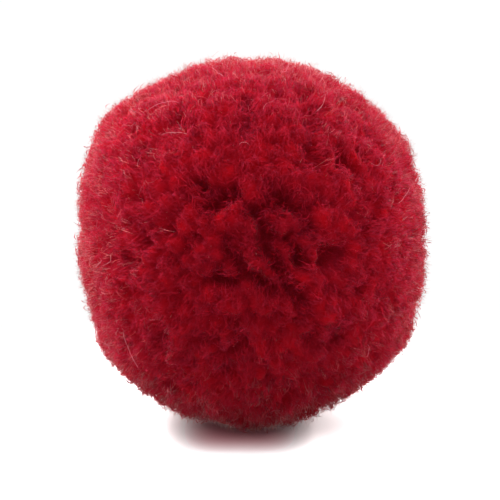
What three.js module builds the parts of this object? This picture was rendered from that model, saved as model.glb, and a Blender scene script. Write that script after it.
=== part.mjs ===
// Plush pom-pom: a ball of cut yarn that rests on its own pile.
// Strands of yarn are tied tight at one point, spread out into a ball and trimmed with scissors.
// Millimetres, +Z up. The origin is the middle of the level patch that it rests on, and -Y is its front.
import * as THREE from "three";
import { mergeVertices } from "three/addons/utils/BufferGeometryUtils.js";

// Driving sizes
const REST_HEIGHT = 31.2; // height of the tie, from which every strand spreads out
const DEPTH_REACH = 30.6; // from the tie to the trimmed pile at the front and at the back
const TRIM_SQUARENESS = 2.3; // 2 trims the pile round from front to back, more trims it squarer
const HEART_SHARE = 0.58; // share of a strand's reach that is packed into one mass round the tie

// The trimmed outline seen from the front, as uneven as the scissors left it.
// hour: place on a clock face, 12 at the top. reach: from the tie to the tips there.
// The pile below would reach past the floor, so the strands there are shorter and end level.
const FRONT_OUTLINE = [
  { hour: 0, reach: 31.7 },
  { hour: 1, reach: 31.6 },
  { hour: 1.7, reach: 31.6 },
  { hour: 2.4, reach: 30.5 },
  { hour: 3, reach: 29.8 },
  { hour: 3.6, reach: 30.8 },
  { hour: 4.2, reach: 32.1 },
  { hour: 5.2, reach: 31.2 },
  { hour: 6, reach: 32.3 },
  { hour: 6.8, reach: 32 },
  { hour: 7.6, reach: 32.2 },
  { hour: 8.4, reach: 30.2 },
  { hour: 9.2, reach: 30.2 },
  { hour: 9.8, reach: 31.6 },
  { hour: 10.3, reach: 33.4 },
  { hour: 11, reach: 32.2 },
];
const HOURS = 12;

// Locks of yarn: the ball is shared out as a cube's six sides of square cells, one lock to a cell.
const CELLS_ALONG_SIDE = 7;
const HALF_SIDE_ANGLE = Math.PI / 4; // from the middle of a side to its edge, seen from the tie
const CELL_ANGLE = (2 * HALF_SIDE_ANGLE) / CELLS_ALONG_SIDE;
const FLOOR_CELL = 10; // the cell turned down to the floor, near a cube's corner so that no row lies level
const CORNER_WANDER = 0.27; // how far a cell's corner strays, as a share of the cell
const ROW_BEND = 0.06; // how far the rows of cells bend from side to side, in slow waves
const ROW_WAVES = 3;
const TIP_LEAN = 0.11; // how far a lock's end leans over, as a share of the cell
const TIP_INSET = 0.2; // the longest locks end this far under the trim, which only single fibres reach
const SHORTER_AT_RIM = 0.5; // how much shorter than those a lock may be where the pile is packed tight
const SHORTER_IN_FRONT = 2.4; // the same in front and behind, where the winding ends and tufts stand loose
const LOOSE_POWER = 3; // how soon the pile gets looser from the rim to the front and back
const LEVEL_BELOW = 0.3; // a lock whose end would come this near the floor rests level on it
const WANDER_SEED = 41;

// Sections of one lock, from its root in the heart to its cut end.
// reach: share of the way from the heart to the trim. fill: share of its cell that it fills.
const LOCK_SECTIONS = [
  { section: "root", reach: 0, fill: 0.7 },
  { section: "belly", reach: 0.66, fill: 0.89 },
  { section: "shoulder", reach: 0.9, fill: 0.77 },
  { section: "crown", reach: 0.985, fill: 0.42 },
];
const LOCK_SIDES = 4;
const CELL_TRIANGLE_CORNERS = 6; // a cell is two triangles of the cube's skin

// A number from -1 to 1, the same sequence in every build.
THREE.MathUtils.seededRandom(WANDER_SEED);
function stray() {
  return THREE.MathUtils.seededRandom() * 2 - 1;
}

function strayVector(size) {
  return new THREE.Vector3(stray(), stray(), stray()).multiplyScalar(size);
}

// The outline's reach at an hour, eased from each row to the next.
function frontReach(hour) {
  const after = FRONT_OUTLINE.findIndex((row) => row.hour > hour);
  const next = FRONT_OUTLINE.at(Math.max(after, 0));
  const last = FRONT_OUTLINE.at(after < 0 ? -1 : after - 1);
  const end = after < 0 ? HOURS : next.hour;
  const eased = THREE.MathUtils.smoothstep(hour, last.hour, end);
  return THREE.MathUtils.lerp(last.reach, next.reach, eased);
}

// How far the trimmed pile reaches from the tie along a unit direction.
function trimmedReach(direction) {
  const turn = Math.atan2(direction.x, direction.z) / (2 * Math.PI);
  const hour = ((turn + 1) % 1) * HOURS;
  const across = Math.hypot(direction.x, direction.z) / frontReach(hour);
  const through = Math.abs(direction.y) / DEPTH_REACH;
  return (across ** TRIM_SQUARENESS + through ** TRIM_SQUARENESS) ** (-1 / TRIM_SQUARENESS);
}

// The point at a distance from the tie along a unit direction.
function fromTie(direction, distance) {
  return direction.clone().multiplyScalar(distance).setZ(REST_HEIGHT + direction.z * distance);
}

// How far a strand along a unit direction is from the tie to the floor.
function floorReach(direction) {
  return direction.z < 0 ? REST_HEIGHT / -direction.z : Infinity;
}

// The point at which a strand along this direction ends on the floor.
function onFloor(direction) {
  return fromTie(direction, floorReach(direction)).setZ(0);
}

// The direction midway between several.
function midway(directions) {
  return directions.reduce((sum, direction) => sum.add(direction), new THREE.Vector3()).normalize();
}

// A point on the cube as a direction from the tie: evenly spaced, then bent in waves and strayed.
function cornerDirection(onCube) {
  const even = onCube.toArray().map((share) => Math.tan(share * HALF_SIDE_ANGLE));
  const direction = new THREE.Vector3(...even).normalize();
  const { x, y, z } = direction.clone().multiplyScalar(ROW_WAVES);
  const bend = new THREE.Vector3(Math.sin(y), Math.sin(z), Math.sin(x)).multiplyScalar(ROW_BEND);
  return direction.add(bend).add(strayVector(CORNER_WANDER * CELL_ANGLE)).normalize();
}

// The cells' corners as directions from the tie, and each cell as its four corners, in order round it.
function shareOutCells() {
  const n = CELLS_ALONG_SIDE;
  const box = new THREE.BoxGeometry(2, 2, 2, n, n, n); // from -1 to 1 each way
  box.deleteAttribute("normal");
  box.deleteAttribute("uv");
  const cage = mergeVertices(box);
  const places = cage.getAttribute("position");
  const corners = Array.from({ length: places.count }, (_, i) =>
    cornerDirection(new THREE.Vector3().fromBufferAttribute(places, i)),
  );
  const cells = [];
  const triangles = cage.index.array;
  for (let i = 0; i < triangles.length; i += CELL_TRIANGLE_CORNERS) {
    const [a, b, d, , c] = triangles.subarray(i, i + CELL_TRIANGLE_CORNERS);
    cells.push([a, b, c, d]);
  }
  const floorMiddle = midway(cells[FLOOR_CELL].map((corner) => corners[corner]));
  const turn = new THREE.Quaternion().setFromUnitVectors(floorMiddle, new THREE.Vector3(0, 0, -1));
  corners.forEach((corner) => corner.applyQuaternion(turn));
  return { corners, cells };
}

// How long a lock is, from the tie to its end. Each is cut a little shorter than the longest, by chance.
function lockLength(middle) {
  const looseness = Math.abs(middle.y) ** LOOSE_POWER;
  const shorter = THREE.MathUtils.lerp(SHORTER_AT_RIM, SHORTER_IN_FRONT, looseness);
  return trimmedReach(middle) - TIP_INSET - shorter * Math.abs(stray());
}

// One lock: the rings of its sections and its tip.
function makeLock(cellCorners) {
  const middle = midway(cellCorners);
  const length = lockLength(middle);
  const lean = strayVector(TIP_LEAN * CELL_ANGLE);
  const rests = fromTie(middle, length).z < LEVEL_BELOW;
  const leaning = (direction, reach) => direction.clone().addScaledVector(lean, reach ** 2).normalize();
  const place = (direction, reach) => {
    const heart = HEART_SHARE * trimmedReach(direction);
    const trim = (length * trimmedReach(direction)) / trimmedReach(middle);
    const end = Math.min(trim, floorReach(direction));
    return fromTie(direction, THREE.MathUtils.lerp(heart, end, reach));
  };
  const rings = LOCK_SECTIONS.map(({ section, reach, fill }) =>
    cellCorners.map((corner) => {
      const direction = leaning(middle.clone().lerp(corner, fill), reach);
      return rests && section === "crown" ? onFloor(direction) : place(direction, reach);
    }),
  );
  const tipDirection = leaning(middle, 1);
  const tip = rests ? onFloor(tipDirection) : place(tipDirection, 1);
  return { rings, tip };
}

// The whole pile as one closed skin: the heart shows as a narrow strip round the root of each lock.
function makePile() {
  const { corners, cells } = shareOutCells();
  const points = corners.map((direction) => fromTie(direction, HEART_SHARE * trimmedReach(direction)));
  const faces = [];
  const addPoints = (ring) => ring.map((point) => points.push(point) - 1);
  const addBand = (lower, upper) => {
    for (let side = 0; side < LOCK_SIDES; side += 1) {
      const next = (side + 1) % LOCK_SIDES;
      faces.push(lower[side], lower[next], upper[next], lower[side], upper[next], upper[side]);
    }
  };
  for (const cell of cells) {
    const { rings, tip } = makeLock(cell.map((corner) => corners[corner]));
    const bands = [cell, ...rings.map(addPoints)];
    bands.slice(1).forEach((upper, i) => addBand(bands[i], upper));
    const crown = bands.at(-1);
    const [end] = addPoints([tip]);
    crown.forEach((corner, side) => faces.push(corner, crown[(side + 1) % LOCK_SIDES], end));
  }
  const pile = new THREE.BufferGeometry().setFromPoints(points);
  pile.setIndex(faces);
  pile.computeVertexNormals();
  return pile;
}

const yarn = new THREE.MeshStandardMaterial({ color: 0xa51b2b, roughness: 0.92, metalness: 0 });
const yarnPile = new THREE.Mesh(makePile(), yarn);
yarnPile.name = "yarn_pile";

const pompom = new THREE.Group();
pompom.add(yarnPile);

export default pompom;
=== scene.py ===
"""Plush pom-pom: a ball of cut crimson yarn, in metres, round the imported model's own frame."""
import math

import bpy
import numpy as np
from mathutils.kdtree import KDTree
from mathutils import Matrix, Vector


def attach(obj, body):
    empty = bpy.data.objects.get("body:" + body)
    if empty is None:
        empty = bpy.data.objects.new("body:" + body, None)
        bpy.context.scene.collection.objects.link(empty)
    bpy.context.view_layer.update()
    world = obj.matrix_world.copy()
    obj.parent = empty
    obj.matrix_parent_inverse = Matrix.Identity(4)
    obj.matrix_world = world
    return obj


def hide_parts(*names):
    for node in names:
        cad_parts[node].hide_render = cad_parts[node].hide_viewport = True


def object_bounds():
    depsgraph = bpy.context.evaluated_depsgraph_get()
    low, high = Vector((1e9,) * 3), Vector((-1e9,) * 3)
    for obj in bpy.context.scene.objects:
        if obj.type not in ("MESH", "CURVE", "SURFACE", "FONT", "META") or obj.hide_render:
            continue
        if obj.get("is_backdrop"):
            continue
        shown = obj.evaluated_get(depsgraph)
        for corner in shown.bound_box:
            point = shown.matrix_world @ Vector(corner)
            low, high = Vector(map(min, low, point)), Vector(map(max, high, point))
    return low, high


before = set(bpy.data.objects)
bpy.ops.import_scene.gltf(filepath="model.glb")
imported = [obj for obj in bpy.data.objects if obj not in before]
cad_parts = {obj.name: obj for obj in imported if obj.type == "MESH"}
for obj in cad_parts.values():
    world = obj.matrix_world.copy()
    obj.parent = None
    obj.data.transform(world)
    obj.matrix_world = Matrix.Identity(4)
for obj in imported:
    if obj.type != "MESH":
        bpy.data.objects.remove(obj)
cad_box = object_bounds()

# The bundle: strands of yarn tied tight round their middle, so that they stand out on every side.
# Scissors trim them to an uneven, squarish ball, and the floor stops the ones below.
TIE = np.array([0.0, 0.0, 0.0312])
DEPTH_REACH = 0.0306
TRIM_SQUARENESS = 2.3
FRONT_OUTLINE = [
    dict(hour=0, reach=0.0317),
    dict(hour=1, reach=0.0316),
    dict(hour=1.7, reach=0.0316),
    dict(hour=2.4, reach=0.0305),
    dict(hour=3, reach=0.0298),
    dict(hour=3.6, reach=0.0308),
    dict(hour=4.2, reach=0.0321),
    dict(hour=5.2, reach=0.0312),
    dict(hour=6, reach=0.0323),
    dict(hour=6.8, reach=0.032),
    dict(hour=7.6, reach=0.0322),
    dict(hour=8.4, reach=0.0302),
    dict(hour=9.2, reach=0.0302),
    dict(hour=9.8, reach=0.0316),
    dict(hour=10.3, reach=0.0334),
    dict(hour=11, reach=0.0322),
]
HOURS = 12
LUMPS = 36
LUMP_SIZE = 0.00024
LUMP_RATE = (11, 30)
NEARBY = 0.01
FLOOR_GAP = 0.0001
CHANCE_SEED = 41
chance = np.random.default_rng(CHANCE_SEED)


def unit(vectors):
    """Each vector at length 1."""
    return vectors / np.linalg.norm(vectors, axis=-1, keepdims=True)


def front_reach(hour):
    """The outline's reach at each hour of a clock face, eased from row to row."""
    hours = np.array([row["hour"] for row in FRONT_OUTLINE] + [HOURS])
    reaches = np.array([row["reach"] for row in FRONT_OUTLINE + FRONT_OUTLINE[:1]])
    last = np.clip(np.searchsorted(hours, hour, side="right") - 1, 0, len(hours) - 2)
    share = (hour - hours[last]) / (hours[last + 1] - hours[last])
    eased = share * share * (3 - 2 * share)
    return reaches[last] + (reaches[last + 1] - reaches[last]) * eased


lump_waves = unit(chance.normal(size=(LUMPS, 3))) * chance.uniform(*LUMP_RATE, (LUMPS, 1))
lump_phases = chance.uniform(0, 2 * math.pi, LUMPS)


def trimmed_reach(directions):
    """How far the trimmed pile reaches from the tie along each unit direction, with its slow lumps."""
    x, y, z = directions.T
    hour = np.arctan2(x, z) / (2 * math.pi) % 1 * HOURS
    across = np.hypot(x, z) / front_reach(hour)
    through = np.abs(y) / DEPTH_REACH
    power = TRIM_SQUARENESS
    lumps = np.sin(directions @ lump_waves.T + lump_phases).sum(axis=1) / math.sqrt(LUMPS / 2)
    return (across**power + through**power) ** (-1 / power) + LUMP_SIZE * lumps


def from_tie(directions, distances):
    """Points along the directions, none of them under the floor."""
    points = TIE + directions * distances[:, None]
    points[:, 2] = np.maximum(points[:, 2], FLOOR_GAP)
    return points


def sideways(directions):
    """Two directions square to each direction and to each other."""
    first = unit(np.cross(directions, chance.normal(size=directions.shape)))
    return first, np.cross(directions, first)


def trim_facing(directions):
    """Which way the trimmed pile faces at each direction."""
    first, second = sideways(directions)
    near = [unit(directions + NEARBY * side) for side in (0, first, second)]
    middle, beside, above = (way * trimmed_reach(way)[:, None] for way in near)
    return unit(np.cross(beside - middle, above - middle))


# The yarn ends: each strand's cut end frays into a soft round tuft, packed against its neighbours.
# They lean this way and that in slow waves, and part here and there into dark clefts.
YARN_ENDS = 2000
END_STRAY = 0.006
END_RADIUS = 0.00140
END_RADII = (0.75, 1.35)
END_DOME = 0.0009
DOME_POWER = 2.5
END_UNEVEN = 0.00030
END_INSET = 0.00032
SHORT_ENDS = 0.18
SHORT_BY = 0.0018
SHORT_SHARE = (0.3, 1)
SIDES_LOOSE = 0.38
LOOSER_RIGHT = 0.18
LOOSE_POWER = 3
BOTTOM_LOOSE = 0.45
BOTTOM_POWER = 6
# The brushed share sets the fibres' slant and shading, and also where pale fibres are painted in as rim
# light.
BRUSHED_RIM_LIT_LEAST = 0.20
BRUSHED_RIM_LIT_SIDES = 0.50
BRUSHED_RIM_LIT_LEFT = 0.25
BRUSHED_RIM_LIT_POWER = 3
LEAN_WAVES = 0.030
LEAN_WAVE_COUNT = 24
LEAN_WAVE_RATE = (3, 9)
LEAN_STRAY = 0.020
END_TONE = 0.38
END_TONE_MOST = 0.69
TONE_LEAST = 0.02
PAINTED_LIGHT_AT_ENDS = 0.17
END_TONES = 0.18
EVEN_TONES = 0.15
GOLDEN_ANGLE = math.pi * (3 - math.sqrt(5))
VIEW_FAR = 0.45
VIEW_ELEVATION = math.radians(9)
VIEW_RIGHT = np.array([1.0, 0.0, 0.0])
VIEW_UP = np.array([0.0, math.sin(VIEW_ELEVATION), math.cos(VIEW_ELEVATION)])
VIEW_TOWARDS = np.array([0.0, -math.cos(VIEW_ELEVATION), math.sin(VIEW_ELEVATION)])
BALL_REACH = 0.031
SEEN_WITHIN = 0.0304
SEEN_TRIES = 6
CLEFTS = [
    dict(start=(-0.0089, 0.0063), end=(-0.0036, 0.0093), deep=0.0026),
    dict(start=(0.0003, 0.0060), end=(0.0033, 0.0067), deep=0.0022),
    dict(start=(0.0033, 0.0084), end=(0.0063, 0.0082), deep=0.0024),
    dict(start=(0.0015, 0.0036), end=(0.0031, 0.0010), deep=0.0028),
    dict(start=(0.0014, -0.0003), end=(0.0053, -0.0055), deep=0.0027),
    dict(start=(-0.0033, -0.0033), end=(-0.0019, -0.0060), deep=0.0023),
    dict(start=(-0.0019, -0.0060), end=(0.0009, -0.0070), deep=0.0020),
    dict(start=(-0.0067, -0.0063), end=(-0.0043, -0.0081), deep=0.0024),
    dict(start=(0.0086, 0.0058), end=(0.0105, 0.0019), deep=0.0021),
    dict(start=(0.0079, -0.0024), end=(0.0091, -0.0043), deep=0.0022),
    dict(start=(0.0062, -0.0082), end=(0.0087, -0.0103), deep=0.0023),
    dict(start=(0.0015, -0.0077), end=(0.0043, -0.0093), deep=0.0019),
    dict(start=(0.0134, -0.0019), end=(0.0156, -0.0033), deep=0.0018),
    dict(start=(0.0101, 0.0166), end=(0.0117, 0.0151), deep=0.0009),
    dict(start=(-0.0099, 0.0106), end=(-0.0087, 0.0082), deep=0.0017),
    dict(start=(-0.0014, 0.0262), end=(-0.0012, 0.0200), deep=0.0016),
]
FRONT_CLEFTS_REACH = 0.020
FRONT_CLEFTS_DEEPER = 1.25
OTHER_CLEFTS = 220
OTHER_CLEFT_LENGTH = 0.0016
OTHER_CLEFT_DEEP = (0.0010, 0.0023)
CLEFT_WIDTH = 0.0011
CLEFT_PUSH = 0.030
NEVER_ZERO = 1e-6


def spread_over_ball(count):
    """Directions spaced evenly over a ball, along a golden spiral from the top down."""
    place = np.arange(count) + 0.5
    height = 1 - 2 * place / count
    turn = place * GOLDEN_ANGLE
    across = np.sqrt(1 - height * height)
    return np.column_stack([across * np.cos(turn), across * np.sin(turn), height])


def slow_waves(directions, waves, size):
    """A smooth random push for each direction, the sum of a few broad waves."""
    push = np.zeros_like(directions)
    for _ in range(waves):
        along = unit(chance.normal(size=3)) * chance.uniform(*LEAN_WAVE_RATE)
        phase = chance.uniform(0, 2 * math.pi)
        push += np.sin(directions @ along + phase)[:, None] * unit(chance.normal(size=3))
    return push * size / math.sqrt(waves / 2)


def seen_in_front(across, up):
    """The direction of the point of the trim that the viewer sees this far right of and above the tie.

    It starts from a round ball seen from far away, and mends the guess by how far off it shows."""
    wanted = np.array([across, up])
    guess = wanted
    for _ in range(SEEN_TRIES):
        guess = guess * min(1, SEEN_WITHIN / np.linalg.norm(guess))
        towards = math.sqrt(BALL_REACH**2 - guess @ guess)
        way = (guess[0] * VIEW_RIGHT + guess[1] * VIEW_UP + towards * VIEW_TOWARDS) / BALL_REACH
        place = way * trimmed_reach(way[None])
        nearer = VIEW_FAR / (VIEW_FAR - place @ VIEW_TOWARDS)
        guess = guess + wanted - nearer * np.array([place @ VIEW_RIGHT, place @ VIEW_UP])
    return way


def towards_ends(directions):
    """How near the winding's two ends a direction points: 1 in front and behind, 0 round the rim."""
    return np.abs(directions[..., 1]) ** LOOSE_POWER


def looseness(directions):
    """How loosely the yarn is packed: 1 at the winding's ends, and less round the rim.

    The rim is looser at the right than at the left, and ruffled underneath."""
    below = BOTTOM_LOOSE * np.clip(-directions[..., 2], 0, 1) ** BOTTOM_POWER
    sides = SIDES_LOOSE + LOOSER_RIGHT * directions[..., 0]
    return sides + (1 - sides) * np.maximum(towards_ends(directions), below)


def brushed_and_rim_lit(directions):
    """How much handling has roughened the pile, and how much painted rim light it gets: most at the
    sides, and not in front or behind.

    The left side is rougher and gets more painted rim light than the right one."""
    right = directions[..., 0]
    share = BRUSHED_RIM_LIT_LEAST + BRUSHED_RIM_LIT_SIDES * right * right - BRUSHED_RIM_LIT_LEFT * right
    return (1 - towards_ends(directions)) ** BRUSHED_RIM_LIT_POWER * share


def clefts_all_round():
    """Each cleft's two ends, as directions, and its depth: the front's own, then others elsewhere."""
    for cleft in CLEFTS:
        deep = cleft["deep"] * FRONT_CLEFTS_DEEPER
        yield seen_in_front(*cleft["start"]), seen_in_front(*cleft["end"]), deep
    for _ in range(OTHER_CLEFTS):
        start = unit(chance.normal(size=3))
        end = unit(start + chance.normal(scale=OTHER_CLEFT_LENGTH / BALL_REACH, size=3))
        deep = chance.uniform(*OTHER_CLEFT_DEEP) * looseness(start)
        if math.acos(start @ VIEW_TOWARDS) * BALL_REACH > FRONT_CLEFTS_REACH:
            yield start, end, deep


all_clefts = list(clefts_all_round())


def cleft_pull(directions, width=CLEFT_WIDTH):
    """How deep the clefts cut at each direction, and which way they push the yarn aside."""
    depths = np.zeros(len(directions))
    push = np.zeros_like(directions)
    for start, end, deep in all_clefts:
        run = end - start
        share = np.clip((directions - start) @ run / (run @ run), 0, 1)
        aside = directions - start - share[:, None] * run
        far = np.linalg.norm(aside, axis=1)
        near = np.exp(-((far * BALL_REACH / width) ** 2))
        depths = np.maximum(depths, near * deep)
        push += aside / np.maximum(far, NEVER_ZERO)[:, None] * near[:, None]
    return depths, push


end_roots = unit(spread_over_ball(YARN_ENDS) + chance.normal(scale=END_STRAY, size=(YARN_ENDS, 3)))
end_lean = slow_waves(end_roots, LEAN_WAVE_COUNT, LEAN_WAVES)
end_lean += chance.normal(scale=LEAN_STRAY, size=(YARN_ENDS, 3))
end_lean += CLEFT_PUSH * cleft_pull(end_roots)[1]
end_tips = unit(end_roots + end_lean)
end_short = np.abs(chance.normal(scale=END_UNEVEN, size=YARN_ENDS))
end_is_short = chance.random(YARN_ENDS) < SHORT_ENDS
end_short += end_is_short * chance.uniform(*SHORT_SHARE, YARN_ENDS) * SHORT_BY
end_short = END_INSET + end_short * looseness(end_tips)
end_dome = END_DOME * looseness(end_tips)
end_radius = END_RADIUS * chance.uniform(*END_RADII, YARN_ENDS)
# Painted light: the ends in front and behind, where the tent's light is dim, are painted lighter.
end_tone = END_TONE + PAINTED_LIGHT_AT_ENDS * towards_ends(end_tips)
end_tone_spread = EVEN_TONES + (1 - EVEN_TONES) * looseness(end_tips)
end_tone += chance.normal(scale=END_TONES, size=YARN_ENDS) * end_tone_spread
end_tone = np.clip(end_tone, TONE_LEAST, END_TONE_MOST)

# The pile: what the imported yarn ends look like together, one closed lumpy skin of domes and clefts.
# It is the same yarn all through; a painted shade makes its colour go from deep red in the clefts to
# crimson on top.
PILE_CELLS = 64
CLEFT_FLOOR = 0.0046
CORE_CLEFT_WIDTH = 0.0015
NEAR_ENDS = 4
PILE_SINK = 0.0013
PILE_TOP_ALONG = 0.7
PILE_DARK_BELOW = 0.0035
CUBE_SIDES = 6
SAME_PLACE_DIGITS = 6
MAP_COLUMNS = 3
MAP_HALF = 0.48
MAP_MIDDLE = 0.5
YARN_PAINTED_SHADE = (0.27, 0.0045, 0.0130, 1)
YARN_BODY = (0.70, 0.0060, 0.0140, 1)
YARN_PALE = (0.86, 0.0850, 0.0950, 1)
PALE_FROM = 0.7
CRIMSON_LEAST = 0.4
YARN_ROUGH = 0.95
PALE_SMOOTHER = 0.2
LIGHT_REACH = 0.0003
LIGHT_REACH_SHARES = (1.0, 0.5, 0.5)
YARN_SHEEN = 0.2
SHEEN_SPREAD = 0.24
SHEEN_TINT = (1.0, 0.66, 0.60, 1)
GRAIN_RATE = 2600
GRAIN_DETAIL = 3
GRAIN_DEEP = 0.0003
MIX_FACTOR = 0
MIX_FIRST = 6
MIX_SECOND = 7
MIX_RESULT = 2


class Wire:
    """A socket of a node tree. Sums on it add Math nodes, so that a finish reads as a formula."""

    def __init__(self, tree, socket):
        self.tree = tree
        self.socket = socket

    @classmethod
    def node(cls, tree, kind, settings, sockets, output=0):
        """Adds a node: its settings first, then its sockets' values or wires."""
        made = tree.nodes.new(kind)
        for name, value in settings.items():
            setattr(made, name, value)
        for name, value in sockets.items():
            if isinstance(value, Wire):
                tree.links.new(value.socket, made.inputs[name])
            else:
                made.inputs[name].default_value = value
        return cls(tree, made.outputs[output]) if made.outputs else None

    def sum(self, operation, first, second):
        return Wire.node(self.tree, "ShaderNodeMath", {"operation": operation}, {0: first, 1: second})

    def __add__(self, other):
        return self.sum("ADD", self, other)

    __radd__ = __add__

    def __sub__(self, other):
        return self.sum("SUBTRACT", self, other)

    def __rsub__(self, other):
        return self.sum("SUBTRACT", other, self)

    def __mul__(self, other):
        return self.sum("MULTIPLY", self, other)

    __rmul__ = __mul__


def blend(tree, factor, first, second):
    """A colour between two. The Mix node's colours come after its numbers and vectors."""
    settings = {"data_type": "RGBA", "clamp_factor": True}
    sockets = {MIX_FACTOR: factor, MIX_FIRST: first, MIX_SECOND: second}
    return Wire.node(tree, "ShaderNodeMix", settings, sockets, output=MIX_RESULT)


def yarn_finish(name, pale=YARN_PALE, reach=LIGHT_REACH, sheen=YARN_SHEEN, grain=False):
    """Dyed yarn with a painted shade: deep red at the root and crimson at the end. Some fibres are pale:
    a few took less dye, and others are painted pale as rim light.

    Light goes a little way into it and comes out again, so that packed yarn glows softly."""
    finish = bpy.data.materials.new(name)
    finish.use_nodes = True
    tree = finish.node_tree
    tree.nodes.clear()
    tone = Wire.node(tree, "ShaderNodeAttribute", {"attribute_name": "tone"}, {}, output="Fac")
    along = Wire.node(tree, "ShaderNodeAttribute", {"attribute_name": "along"}, {}, output="Fac")
    # Painted shade: where along is low, at the roots and deep in the clefts, the yarn is painted deep
    # red.
    dyed_and_shaded = blend(tree, along * (CRIMSON_LEAST + tone), YARN_PAINTED_SHADE, YARN_BODY)
    shown = blend(tree, (tone - PALE_FROM) * (1 / (1 - PALE_FROM)), dyed_and_shaded, pale)
    sockets = {
        "Base Color": shown,
        "Roughness": YARN_ROUGH - tone * PALE_SMOOTHER,
        "Specular IOR Level": 0.0,
        "Subsurface Weight": 1.0,
        "Subsurface Radius": LIGHT_REACH_SHARES,
        "Subsurface Scale": reach,
        "Sheen Weight": sheen,
        "Sheen Roughness": SHEEN_SPREAD,
        "Sheen Tint": SHEEN_TINT,
    }
    if grain:
        place = Wire.node(tree, "ShaderNodeTexCoord", {}, {}, output="Object")
        grains = {"Vector": place, "Scale": GRAIN_RATE, "Detail": GRAIN_DETAIL}
        noise = Wire.node(tree, "ShaderNodeTexNoise", {}, grains)
        bumps = {"Distance": GRAIN_DEEP, "Height": noise}
        sockets["Normal"] = Wire.node(tree, "ShaderNodeBump", {}, bumps)
    yarn = Wire.node(tree, "ShaderNodeBsdfPrincipled", {}, sockets)
    Wire.node(tree, "ShaderNodeOutputMaterial", {}, {"Surface": yarn})
    return finish


def mesh_piece(name, points, faces, finish, values, flat_map, normals=None):
    """A piece from arrays of points and faces, with a flat map and the values that its finish reads.

    Where normals are given, it is shaded by those."""
    corners = faces.shape[1]
    mesh = bpy.data.meshes.new(name)
    mesh.vertices.add(len(points))
    mesh.vertices.foreach_set("co", points.ravel())
    mesh.loops.add(faces.size)
    mesh.loops.foreach_set("vertex_index", faces.ravel())
    mesh.polygons.add(len(faces))
    mesh.polygons.foreach_set("loop_start", np.arange(0, faces.size, corners))
    mesh.update(calc_edges=True)
    mesh.shade_smooth()
    if normals is not None:
        mesh.normals_split_custom_set_from_vertices(normals)
    for value_name, value in values.items():
        mesh.attributes.new(value_name, "FLOAT", "POINT").data.foreach_set("value", value)
    mesh.uv_layers.new(name="OFBake").data.foreach_set("uv", flat_map.ravel())
    mesh.materials.append(finish)
    piece = bpy.data.objects.new(name, mesh)
    bpy.context.scene.collection.objects.link(piece)
    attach(piece, "root")
    return piece


def cube_grid(cells):
    """The points of a cube's six sides from -1 to 1, its square faces, and a flat map of them."""
    steps = np.linspace(-1, 1, cells + 1)
    across, up = np.meshgrid(steps, steps)
    corner = (np.arange(cells)[:, None] * (cells + 1) + np.arange(cells)).ravel()
    square = np.column_stack([corner, corner + 1, corner + cells + 2, corner + cells + 1])
    points, faces, flat_map = [], [], []
    for side in range(CUBE_SIDES):
        axis, sign = side // 2, 1 - side % 2 * 2
        place = np.empty((across.size, 3))
        place[:, axis] = sign
        place[:, (axis + 1) % 3] = across.ravel() * sign
        place[:, (axis + 2) % 3] = up.ravel()
        points.append(place)
        faces.append(square + side * across.size)
        column, row = side % MAP_COLUMNS, side // MAP_COLUMNS
        spot = np.column_stack([across.ravel(), up.ravel()]) * MAP_HALF + MAP_MIDDLE
        flat_map.append((spot + [column, row]) / MAP_COLUMNS)
    loose = np.vstack(points)
    shared, joined = np.unique(np.round(loose, SAME_PLACE_DIGITS), axis=0, return_inverse=True)
    loose_faces = np.vstack(faces)
    return shared, joined.ravel()[loose_faces], np.vstack(flat_map)[loose_faces.ravel()]


def nearest_ends(directions):
    """The numbers of the yarn ends nearest each direction, and how far off they are along the trim."""
    tree = KDTree(YARN_ENDS)
    for number, tip in enumerate(end_tips):
        tree.insert(tip, number)
    tree.balance()
    found = [tree.find_n(direction, NEAR_ENDS) for direction in directions]
    numbers = np.array([[near[1] for near in row] for row in found])
    far = np.array([[near[2] for near in row] for row in found])
    return numbers, far * trimmed_reach(directions)[:, None]


def pile_drop(directions):
    """How far the lumpy pile lies under the trim, and the number of the yarn end that shows there."""
    numbers, far = nearest_ends(directions)
    drops = end_short[numbers] + end_dome[numbers] * (far / end_radius[numbers]) ** DOME_POWER
    top = drops.argmin(axis=1)
    rows = np.arange(len(directions))
    drop = drops[rows, top] + cleft_pull(directions, CORE_CLEFT_WIDTH)[0]
    return np.minimum(drop, CLEFT_FLOOR), numbers[rows, top]


grid_points, pile_faces, pile_map = cube_grid(PILE_CELLS)
pile_directions = unit(np.tan(grid_points * math.pi / 4))
pile_depth, pile_end = pile_drop(pile_directions)
pile_points = from_tie(pile_directions, trimmed_reach(pile_directions) - pile_depth - PILE_SINK)
# Painted shade: the deeper the pile lies under the trim, the more it is painted deep red.
pile_values = {
    "tone": end_tone[pile_end],
    "along": np.clip(PILE_TOP_ALONG - pile_depth / PILE_DARK_BELOW, 0, 1),
}
pile_finish = yarn_finish("dyed_yarn_painted_shade", grain=True)
pile = mesh_piece("yarn_pile_ends", pile_points, pile_faces, pile_finish, pile_values, pile_map)
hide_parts("yarn_pile")

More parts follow.
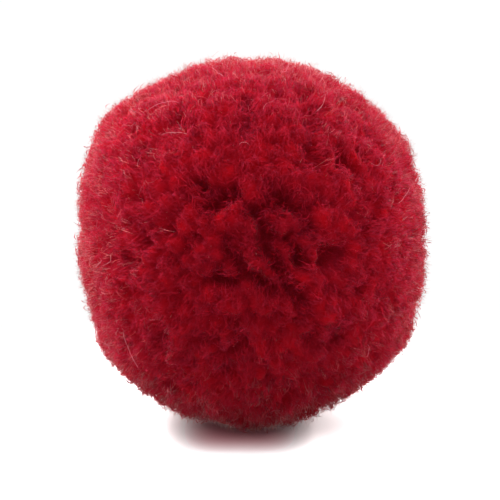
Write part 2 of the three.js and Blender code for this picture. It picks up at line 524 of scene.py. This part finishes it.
# The fibres: every cut end frays into wisps of fine fibres that lean over each other and hide its core.
# They are the yarn's own. Each is thin and closed, and together they take the light as one soft ball.
WISPS_PER_END = 11
FIBRES_PER_WISP = 5
WISP_UNEVEN = 0.00010
WISP_LEAN = 0.00040
FIBRE_PIECES = 4
FIBRE_LENGTH = 0.0022
FIBRE_PROUD = 0.00006
PROUD_SHAPE = 2.0
PROUD_AT_RIM = 0.8
FIBRE_WIDTH = 0.000070
FIBRE_WIDTHS = (0.6, 1.3)
FIBRE_STRAY = 0.00040
FIBRE_SLANT = 0.00060
SLANT_AT_RIM = 0.40
SLANT_BRUSHED = 0.35
FIBRE_WAIST = 0.6
WAIST_STRAY = 0.3
FIBRE_BULGE = 0.00020
FAN_OUT = 1.1
PALE_FIBRES = 0.05
PALE_WISPS = 0.20
PALEST = 0.98
WISP_TONES = 0.12
FIBRE_TONES = 0.06
SOFT_SHADE = 0.86
TUFT_ROUND = 0.8
ROUND_LEAST = 0.3
LEAN_SHOWS = 0.2
DARK_BELOW = 0.0044
DARK_AT_RIM = 0.4
ROOTS_LIT = 0.55
RIM_CRISP = 0.40
MAP_WIDTH = 0.004
RING = 3


def strand_faces(rings):
    """The triangles of one strand: a fan at each end, and a band from each ring to the next."""
    faces = []
    end = 1 + RING * rings
    for corner in range(RING):
        beside = (corner + 1) % RING
        faces.append([1 + beside, 1 + corner, 0])
        for ring in range(1, rings):
            low, high = 1 + RING * (ring - 1), 1 + RING * ring
            faces.append([low + corner, low + beside, high + beside])
            faces.append([low + corner, high + beside, high + corner])
        faces.append([end - RING + corner, end - RING + beside, end])
    return np.array(faces)


def strands(name, paths, widths, tone, facing, finish, lit=1, root_lit=0, soft=SOFT_SHADE):
    """Many thin strands as one piece: a path's two ends are points, and each point between is a ring."""
    count, steps = paths.shape[:2]
    rings = steps - 2
    first, second = sideways(unit(paths[:, -1] - paths[:, 0]))
    turns = np.arange(RING) * 2 * math.pi / RING
    around = np.cos(turns)[:, None] * first[:, None] + np.sin(turns)[:, None] * second[:, None]
    around = np.broadcast_to(around[:, None], (count, rings, RING, 3)).reshape(count, rings * RING, 3)
    between = np.repeat(paths[:, 1:-1], RING, axis=1) + widths[:, None, None] * around
    points = np.concatenate([paths[:, :1], between, paths[:, -1:]], axis=1)
    points[..., 2] = np.maximum(points[..., 2], FLOOR_GAP)
    per_strand = points.shape[1]
    normals = np.repeat(facing[:, None], per_strand, axis=1)
    soft = np.reshape(soft, (-1, 1, 1))
    normals[:, 1:-1] = soft * normals[:, 1:-1] + (1 - soft) * around
    faces = (np.arange(count)[:, None, None] * per_strand + strand_faces(rings)).reshape(-1, 3)
    share = np.linspace(0, 1, steps)
    along = np.tile(np.concatenate([[0], np.repeat(share[1:-1], RING), [1]]), (count, 1))
    # Painted shade: each strand is painted deep red at its root and crimson at its tip, darker all along
    # where lit is low, and lighter at its root by root_lit.
    root_lit = np.reshape(root_lit, (-1, 1))
    along = (np.reshape(lit, (-1, 1)) * (root_lit + (1 - root_lit) * along)).ravel()
    spread = np.tile(np.concatenate([[0], np.tile([-MAP_WIDTH, 0, MAP_WIDTH], rings), [0]]), count)
    tones = np.repeat(tone, per_strand)
    flat_map = np.column_stack([tones + spread, along])[faces.ravel()]
    values = {"tone": tones, "along": along}
    points = points.reshape(-1, 3)
    normals = unit(normals).reshape(-1, 3)
    mesh_piece(name, points, faces, finish, values, flat_map, normals)


fibre_finish = yarn_finish("frayed_yarn")
for band, ends in enumerate(np.array_split(np.arange(YARN_ENDS), FIBRE_PIECES)):
    wisp_end = np.repeat(ends, WISPS_PER_END)
    wisps = len(wisp_end)
    out_share = np.sqrt(chance.random(wisps))
    turn = chance.uniform(0, 2 * math.pi, wisps)
    first, second = sideways(end_tips[wisp_end])
    fan = first * np.cos(turn)[:, None] + second * np.sin(turn)[:, None]
    offset = out_share * end_radius[wisp_end] / BALL_REACH
    wisp_way = unit(end_tips[wisp_end] + fan * (FAN_OUT * offset)[:, None])
    wisp_drop = end_short[wisp_end] + cleft_pull(wisp_way)[0]
    wisp_drop += np.abs(chance.normal(scale=WISP_UNEVEN, size=wisps))
    wisp_lean = chance.normal(scale=WISP_LEAN, size=(wisps, 3))
    wisp_facing = trim_facing(wisp_way)

    count = wisps * FIBRES_PER_WISP
    wisp = np.repeat(np.arange(wisps), FIBRES_PER_WISP)
    end = wisp_end[wisp]
    tip_way = unit(wisp_way[wisp] + chance.normal(scale=FIBRE_STRAY / BALL_REACH, size=(count, 3)))
    from_middle = (tip_way - end_tips[end]) * (BALL_REACH / end_radius[end])[:, None]
    out = np.linalg.norm(from_middle, axis=1)
    drop = wisp_drop[wisp] + end_dome[end] * out**DOME_POWER
    rim = 1 - towards_ends(tip_way)
    proud = chance.gamma(PROUD_SHAPE, FIBRE_PROUD, count) * (1 + PROUD_AT_RIM * rim)
    tips = from_tie(tip_way, trimmed_reach(wisp_way)[wisp] - drop + proud)
    crossing = 1 + SLANT_AT_RIM * rim + SLANT_BRUSHED * brushed_and_rim_lit(tip_way)
    slant = chance.normal(scale=FIBRE_SLANT, size=(count, 3)) * crossing[:, None]
    slant += wisp_lean[wisp]
    roots = tips - tip_way * FIBRE_LENGTH - slant
    bulge = chance.normal(scale=FIBRE_SLANT * WAIST_STRAY, size=(count, 3))
    bulge += wisp_facing[wisp] * FIBRE_BULGE
    waists = roots + (tips - roots) * FIBRE_WAIST + bulge
    widths = FIBRE_WIDTH * chance.uniform(*FIBRE_WIDTHS, count)
    wisp_tone = end_tone[wisp_end] + chance.normal(scale=WISP_TONES, size=wisps)
    tone = np.repeat(wisp_tone, FIBRES_PER_WISP)
    tone = np.clip(tone + chance.normal(scale=FIBRE_TONES, size=count), TONE_LEAST, PALE_FROM)
    # Pale wisps and fibres, partly yarn that took less dye and partly painted rim light, are placed
    # round the rim, most of all at the left.
    pale_wisp = chance.random(wisps) < PALE_WISPS * brushed_and_rim_lit(wisp_way)
    pale = pale_wisp[wisp] | (chance.random(count) < PALE_FIBRES * brushed_and_rim_lit(tip_way))
    tone[pale] = chance.uniform(PALE_FROM, PALEST, pale.sum())
    # Painted shade: fibres that end deeper under the trim are painted darker, less so round the rim.
    shaded = DARK_AT_RIM + (1 - DARK_AT_RIM) * (1 - rim)
    lit = np.exp(-drop / DARK_BELOW * shaded)
    rounding = TUFT_ROUND * (ROUND_LEAST + (1 - ROUND_LEAST) * looseness(end_tips[end]))[:, None]
    facing = unit(wisp_facing[wisp] + rounding * from_middle + LEAN_SHOWS * wisp_lean[wisp] / WISP_LEAN)
    paths = np.stack([roots, waists, tips], axis=1)
    # Painted light: round the rim the fibres' roots are painted lighter.
    root_lit = ROOTS_LIT * rim
    soft = SOFT_SHADE - RIM_CRISP * brushed_and_rim_lit(tip_way)
    strands(f"frayed_fibres_{band + 1}", paths, widths, tone, facing, fibre_finish, lit, root_lit, soft)

# The fuzz: the finest ends of the fibres, which stand a little off the trim and blur the ball's edge.
# They are the same yarn, thin, and they catch the light at the edge; round the rim, most of all at the
# left, many are painted pale as a painted rim light.
FUZZ_FIBRES = 33000
FUZZ_WIDTH = 0.000017
FUZZ_WIDTHS = (0.7, 1.3)
FUZZ_DEEP = 0.0006
FUZZ_PROUD = 0.00042
FUZZ_LONGEST = 0.0014
FUZZ_LEAN = 0.00030
FUZZ_BEND_ACROSS = 0.35
FUZZ_BEND_UP = 0.45
FUZZ_PAINTED_RIM_LIGHT = (0.93, 0.340, 0.300, 1)
FUZZ_LIGHT_REACH = 0.00002
FUZZ_SHEEN = 1.0
FUZZ_TONE_LEAST = 0.35
RIM_LIT_FUZZ = 0.6
RIM_LIT_FUZZ_TONES = (0.85, 1)
FUZZ_PAINTED_RIM_LIGHT_POWER = 3.0
fuzz_ways = unit(chance.normal(size=(FUZZ_FIBRES, 3)))
fuzz_lean = chance.normal(scale=FUZZ_LEAN / BALL_REACH, size=(FUZZ_FIBRES, 3))
fuzz_tips = unit(fuzz_ways + fuzz_lean)
fuzz_level = trimmed_reach(fuzz_ways) - pile_drop(fuzz_ways)[0]
fuzz_high = np.minimum(chance.gamma(PROUD_SHAPE, FUZZ_PROUD, FUZZ_FIBRES), FUZZ_LONGEST)
fuzz_bends = unit(fuzz_ways + FUZZ_BEND_ACROSS * fuzz_lean)
fuzz_paths = np.stack(
    [
        from_tie(fuzz_ways, fuzz_level - FUZZ_DEEP),
        from_tie(fuzz_bends, fuzz_level + FUZZ_BEND_UP * fuzz_high),
        from_tie(fuzz_tips, fuzz_level + fuzz_high),
    ],
    axis=1,
)
fuzz_widths = FUZZ_WIDTH * chance.uniform(*FUZZ_WIDTHS, FUZZ_FIBRES)
fuzz_tone = chance.uniform(FUZZ_TONE_LEAST, PALE_FROM, FUZZ_FIBRES)
# Painted rim light: fuzz round the rim, most of all at the left, is painted pale.
fuzz_at_rim = (1 - np.abs(fuzz_ways[:, 1])) ** (FUZZ_PAINTED_RIM_LIGHT_POWER + fuzz_ways[:, 0])
fuzz_rim_lit = chance.random(FUZZ_FIBRES) < RIM_LIT_FUZZ * fuzz_at_rim
fuzz_tone[fuzz_rim_lit] = chance.uniform(*RIM_LIT_FUZZ_TONES, fuzz_rim_lit.sum())
hair_finish = yarn_finish("single_fibre", FUZZ_PAINTED_RIM_LIGHT, FUZZ_LIGHT_REACH, FUZZ_SHEEN)
strands("fuzz", fuzz_paths, fuzz_widths, fuzz_tone, trim_facing(fuzz_ways), hair_finish)

# The loose hairs: fine fibres that brushing pulled out, held by one end and curled over the pile.
# They took less dye than the rest, so they show as thin pale lines, most of them round the rim, where a
# painted rim light makes them paler still.
LOOSE_HAIRS = 2800
FEWER_IN_FRONT = 0.93
HAIR_WIDTH = 0.000020
HAIR_WIDTHS = (0.7, 1.3)
HAIR_SHORT = 0.0010
HAIR_LONG = 0.0040
HAIR_DEEP = 0.0003
HAIR_RISE = (0.05, 0.30)
HAIR_DROOP = 0.7
HAIR_CURL = (1.2, 5.0)
HAIR_STEPS = np.linspace(0, 1, 7)
HAIR_TONE = 0.5
HAIR_PALER = 0.2
HAIR_PAINTED_RIM_LIGHT = 0.3
UNDYED = (0.95, 0.28, 0.33, 1)


def curled(ways, lengths, rise, curl, steps):
    """Paths that leave the pile, rise, and turn to one side as they bend back towards it."""
    start = from_tie(ways, trimmed_reach(ways) - pile_drop(ways)[0] - HAIR_DEEP)
    first, second = sideways(ways)
    turn = curl[:, None] * steps
    ahead = np.sin(turn) / curl[:, None]
    aside = (1 - np.cos(turn)) / curl[:, None]
    above = rise[:, None] * (steps - HAIR_DROOP * steps**2)
    course = ahead[..., None] * first[:, None] + aside[..., None] * second[:, None]
    course += above[..., None] * ways[:, None]
    paths = start[:, None] + lengths[:, None, None] * course
    paths[..., 2] = np.maximum(paths[..., 2], FLOOR_GAP)
    return paths


hair_ways = unit(chance.normal(size=(LOOSE_HAIRS, 3)))
hair_left_out = FEWER_IN_FRONT * np.sqrt(np.abs(hair_ways[:, 1]))
hair_ways = hair_ways[chance.random(LOOSE_HAIRS) > hair_left_out]
hairs = len(hair_ways)
hair_lengths = chance.uniform(HAIR_SHORT, HAIR_LONG, hairs)
hair_rise = chance.uniform(*HAIR_RISE, hairs)
hair_curl = chance.uniform(*HAIR_CURL, hairs)
hair_paths = curled(hair_ways, hair_lengths, hair_rise, hair_curl, HAIR_STEPS)
hair_widths = HAIR_WIDTH * chance.uniform(*HAIR_WIDTHS, hairs)
# Painted rim light: hairs round the rim are painted paler.
hair_paler_and_rim_lit = HAIR_PALER + HAIR_PAINTED_RIM_LIGHT * (1 - towards_ends(hair_ways))
hair_tone = HAIR_TONE + hair_paler_and_rim_lit * chance.random(hairs) ** 2
undyed_finish = yarn_finish("undyed_fibre", UNDYED, FUZZ_LIGHT_REACH, FUZZ_SHEEN)
strands("loose_hairs", hair_paths, hair_widths, hair_tone, hair_ways, undyed_finish)

# The stray hairs: a few long pale fibres of the same yarn that cling to the pile in loose arcs.
# Each lies close on the trim, and its two ends lift off it.
STRAY_HAIRS = [
    dict(seen=[(-0.0180, 0.0216), (-0.0150, 0.0236), (-0.0122, 0.0230)], lift=0.0005),
    dict(seen=[(-0.0155, 0.0176), (-0.0134, 0.0184), (-0.0108, 0.0177)], lift=0.0006),
    dict(seen=[(0.0060, 0.0300), (0.0056, 0.0288), (0.0044, 0.0279)], lift=0.0008),
    dict(seen=[(-0.0069, 0.0287), (-0.0058, 0.0284), (-0.0050, 0.0272)], lift=0.0008),
    dict(seen=[(0.0262, 0.0093), (0.0256, 0.0074), (0.0240, 0.0062)], lift=0.0007),
    dict(seen=[(-0.0262, -0.0046), (-0.0257, -0.0034), (-0.0255, -0.0027)], lift=0.0008),
    dict(seen=[(-0.0252, -0.0042), (-0.0242, -0.0034), (-0.0239, -0.0020)], lift=0.0006),
    dict(seen=[(-0.0218, -0.0149), (-0.0212, -0.0183), (-0.0190, -0.0216)], lift=0.0005),
    dict(seen=[(-0.0254, -0.0165), (-0.0247, -0.0176), (-0.0238, -0.0180)], lift=0.0007),
    dict(seen=[(0.0283, -0.0096), (0.0278, -0.0107), (0.0268, -0.0115)], lift=0.0007),
    dict(seen=[(0.0192, -0.0172), (0.0197, -0.0186), (0.0189, -0.0196)], lift=0.0005),
    dict(seen=[(-0.0024, 0.0160), (-0.0016, 0.0168), (-0.0006, 0.0161)], lift=0.0004),
    dict(seen=[(0.0104, 0.0216), (0.0118, 0.0231), (0.0121, 0.0248)], lift=0.0005),
]
FRONT_LIFT_LEAST = 0.4
OTHER_STRAYS = 44
OTHER_LIFT = 0.0006
OTHER_LIFT_LEAST = 0.3
STRAY_REACH = 0.07
STRAY_BOW = 0.022
FRONT_STRAYS_REACH = 0.034
STRAY_WIDTH = 0.000028
STRAY_STEPS = np.linspace(0, 1, 9)
STRAY_TONE = 0.97


def arc(first, middle, last, steps):
    """Places along the curve from the first point through the middle one to the last."""
    share = steps[:, None]
    pull = 2 * middle - (first + last) / 2
    return (1 - share) ** 2 * first + 2 * share * (1 - share) * pull + share**2 * last


stray_paths = []
for hair in STRAY_HAIRS:
    seen = arc(*(np.array(place) for place in hair["seen"]), STRAY_STEPS)
    ways = np.array([seen_in_front(*place) for place in seen])
    lift = hair["lift"] * (FRONT_LIFT_LEAST + np.abs(2 * STRAY_STEPS - 1))
    stray_paths.append(from_tie(ways, trimmed_reach(ways) + lift))
for _ in range(OTHER_STRAYS):
    start = unit(chance.normal(size=3))
    run = chance.normal(scale=STRAY_REACH, size=3)
    bow = unit(np.cross(start, run)) * STRAY_BOW
    ways = unit(arc(start, start + run / 2 + bow, start + run, STRAY_STEPS))
    lift = OTHER_LIFT * (OTHER_LIFT_LEAST + np.abs(2 * STRAY_STEPS - 1))
    if math.acos(start @ VIEW_TOWARDS) * BALL_REACH > FRONT_STRAYS_REACH:
        stray_paths.append(from_tie(ways, trimmed_reach(ways) + lift))
stray_paths = np.array(stray_paths)
stray_widths = np.full(len(stray_paths), STRAY_WIDTH)
stray_tone = np.full(len(stray_paths), STRAY_TONE)
stray_facing = unit(stray_paths.mean(axis=1) - TIE)
strands("stray_hairs", stray_paths, stray_widths, stray_tone, stray_facing, undyed_finish)

# The floor: a plain white sheet that the ball rests on. It is dull, so it throws little light back up.
# The viewer sees it bright, with a painted shade under the ball, plum in the middle and grey round that.
FLOOR_HALF = 3.0
FLOOR_SHOWN = 2.2
FLOOR_BOUNCE = 0.42
FLOOR_NEAR = 0.10
SHADE_LEFT = 0.0022
SHADE_ACROSS = 0.0128
SHADE_DEEP = 0.0329
SHADE_PLUM = (0.25, 0.092, 0.107)
SHADE_GREY = (0.25, 0.215, 0.220)
SHADE_GREYS = 3
WHITE = (1, 1, 1, 1)
WHITE_GLOW = 1.02
floor_mesh = bpy.data.meshes.new("floor")
floor_corners = [(-1, -1), (1, -1), (1, 1), (-1, 1)]
floor_points = [(x * FLOOR_HALF, y * FLOOR_HALF, 0) for x, y in floor_corners]
floor_mesh.from_pydata(floor_points, [], [(0, 1, 2, 3)])
floor_paint = bpy.data.materials.new("floor_white")
floor_paint.use_nodes = True
tree = floor_paint.node_tree
tree.nodes.clear()
seen = Wire.node(tree, "ShaderNodeLightPath", {}, {}, output="Is Camera Ray")
dull = Wire.node(tree, "ShaderNodeBsdfDiffuse", {}, {"Color": (FLOOR_BOUNCE,) * 3 + (1,)})
plain = Wire.node(tree, "ShaderNodeEmission", {}, {"Color": WHITE, "Strength": WHITE_GLOW})
place = Wire.node(tree, "ShaderNodeTexCoord", {}, {}, output="Object")
far = Wire.node(tree, "ShaderNodeVectorMath", {"operation": "LENGTH"}, {0: place}, output="Value")
across = Wire.node(tree, "ShaderNodeSeparateXYZ", {}, {"Vector": place}, output="X")
across = (across + SHADE_LEFT) * (1 / SHADE_ACROSS)
deep = Wire.node(tree, "ShaderNodeSeparateXYZ", {}, {"Vector": place}, output="Y") * (1 / SHADE_DEEP)
out = (across * across) * (across * across) + (deep * deep) * (deep * deep)
plum = tuple(FLOOR_SHOWN * value for value in SHADE_PLUM) + (1,)
grey = tuple(FLOOR_SHOWN * value for value in SHADE_GREY) + (1,)
shaded = blend(tree, out, blend(tree, out * SHADE_GREYS, plum, grey), (FLOOR_SHOWN,) * 3 + (1,))
clear = Wire.node(tree, "ShaderNodeBsdfDiffuse", {}, {"Color": shaded})
shown = Wire.node(tree, "ShaderNodeMixShader", {}, {0: far * (2 / FLOOR_NEAR) - 1, 1: clear, 2: plain})
floor_look = Wire.node(tree, "ShaderNodeMixShader", {}, {0: seen, 1: dull, 2: shown})
Wire.node(tree, "ShaderNodeOutputMaterial", {}, {"Surface": floor_look})
floor_mesh.materials.append(floor_paint)
floor = bpy.data.objects.new("floor", floor_mesh)
bpy.context.scene.collection.objects.link(floor)
floor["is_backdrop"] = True

# The light: a white tent, brightest at its sides, the left most of all, and dim before the ball.
# It is softer overhead and behind. The viewer sees plain white in its place.
TENT_DIM = 0.70
TENT_BRIGHT = 0.90
TENT_BACK = 2.0
TENT_SIDES = 3.0
TENT_LEFT = 0.75
tent = bpy.data.worlds.new("light_tent")
bpy.context.scene.world = tent
tent.use_nodes = True
tree = tent.node_tree
tree.nodes.clear()
way = Wire.node(tree, "ShaderNodeTexCoord", {}, {}, output="Generated")
depth = Wire.node(tree, "ShaderNodeSeparateXYZ", {}, {"Vector": way}, output="Y")
right = Wire.node(tree, "ShaderNodeSeparateXYZ", {}, {"Vector": way}, output="X")
round_ball = 1 - depth * depth
behind = 0.5 + depth * 0.5
sides = 1 + TENT_SIDES * (right * right) - TENT_LEFT * right
strength = TENT_DIM + TENT_BRIGHT * sides * (round_ball * round_ball * round_ball)
strength = strength + TENT_BACK * (behind * behind)
glow = Wire.node(tree, "ShaderNodeBackground", {}, {"Strength": strength})
white = Wire.node(tree, "ShaderNodeBackground", {}, {"Color": WHITE, "Strength": WHITE_GLOW})
seen = Wire.node(tree, "ShaderNodeLightPath", {}, {}, output="Is Camera Ray")
shown = Wire.node(tree, "ShaderNodeMixShader", {}, {0: seen, 1: glow, 2: white})
Wire.node(tree, "ShaderNodeOutputWorld", {}, {"Surface": shown})

# The camera: a long lens, a little above the ball and square to its front.
# It is aimed a little below the tie and to its left.
CAMERA_LENS = 189
AIM_LEFT = 0.0005
AIM_BELOW = 0.0015
camera_data = bpy.data.cameras.new("camera")
camera_data.lens = CAMERA_LENS
camera = bpy.data.objects.new("camera", camera_data)
bpy.context.scene.collection.objects.link(camera)
camera.location = TIE - VIEW_RIGHT * AIM_LEFT - VIEW_UP * AIM_BELOW + VIEW_TOWARDS * VIEW_FAR
camera.rotation_euler = (math.pi / 2 - VIEW_ELEVATION, 0, 0)
bpy.context.scene.camera = camera
bpy.context.scene.view_settings.view_transform = "Standard"

boxes = {"cad": cad_box, "visual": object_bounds()}
{name: [list(corner) for corner in box] for name, box in boxes.items()}
